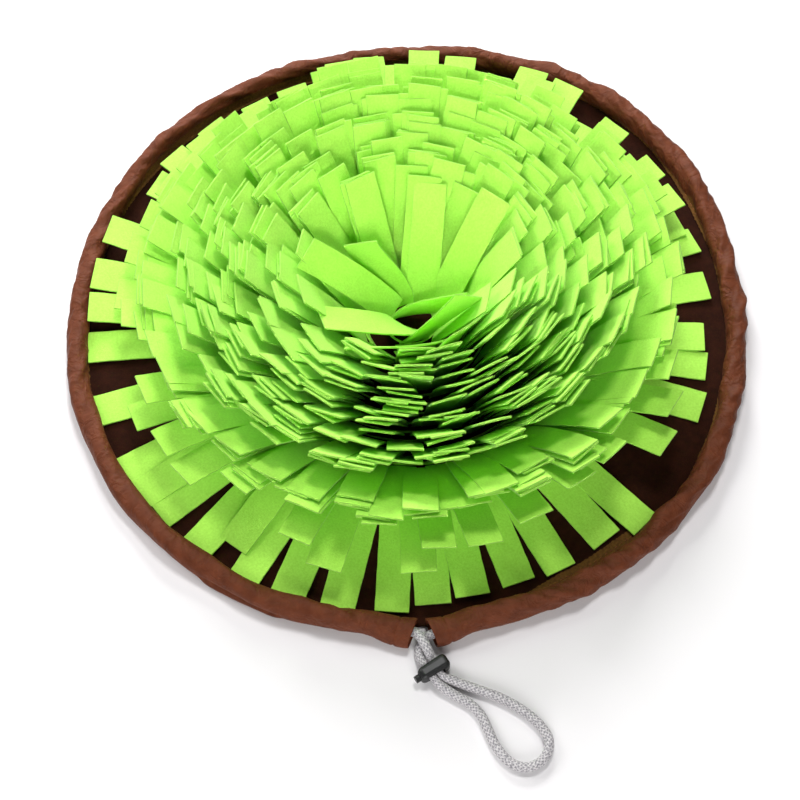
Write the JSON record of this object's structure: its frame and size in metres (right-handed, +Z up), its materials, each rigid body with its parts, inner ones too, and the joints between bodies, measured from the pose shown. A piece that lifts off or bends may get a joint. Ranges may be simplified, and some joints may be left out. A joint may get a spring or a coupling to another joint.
{
  "type": "snuffle mat",
  "caption": "Round pet snuffle mat: rings of standing felt fringe on a flat base cloth, in a gathered drawstring rim with a spring cord lock.",
  "frame": {"origin": "on the floor under the middle of the mat's own box, measured without the free cord and its lock", "axes": "+Z up out of the fringe, -Y towards the drawstring at the front, +X to the right seen from the front"},
  "size_m": [0.4464, 0.5301, 0.0848],
  "materials": {
    "felt": "needled polyester felt, lime green, matt with a short fuzz",
    "base_cloth": "dark brown brushed cloth, matt",
    "casing_taffeta": "thin brown woven taffeta, gathered, with a soft sheen",
    "cord": "pale grey braided cord, soft",
    "lock_plastic": "moulded charcoal plastic, satin"
  },
  "bodies": {
    "mat": {"base_cloth": "base_cloth", "rim_casing": "casing_taffeta", "fringe_ring_01": "felt", "fringe_ring_02": "felt", "fringe_ring_03": "felt", "fringe_ring_04": "felt", "fringe_ring_05": "felt", "fringe_ring_06": "felt", "fringe_ring_07": "felt", "fringe_ring_08": "felt", "fringe_ring_09": "felt", "fringe_ring_10": "felt", "drawstring_loop": "cord", "drawstring_in_casing": "cord", "cord_lock_body": "lock_plastic"},
    "lock_button": {"cord_lock_button": "lock_plastic"}
  },
  "joints": [
    {"name": "lock_press", "type": "slide", "parent": "mat", "child": "lock_button", "axis": [0.8387, 0.5446, 0], "range_m": [0, 0.0025], "stiffness_N_per_m": 400, "springref_m": -0.002}
  ]
}
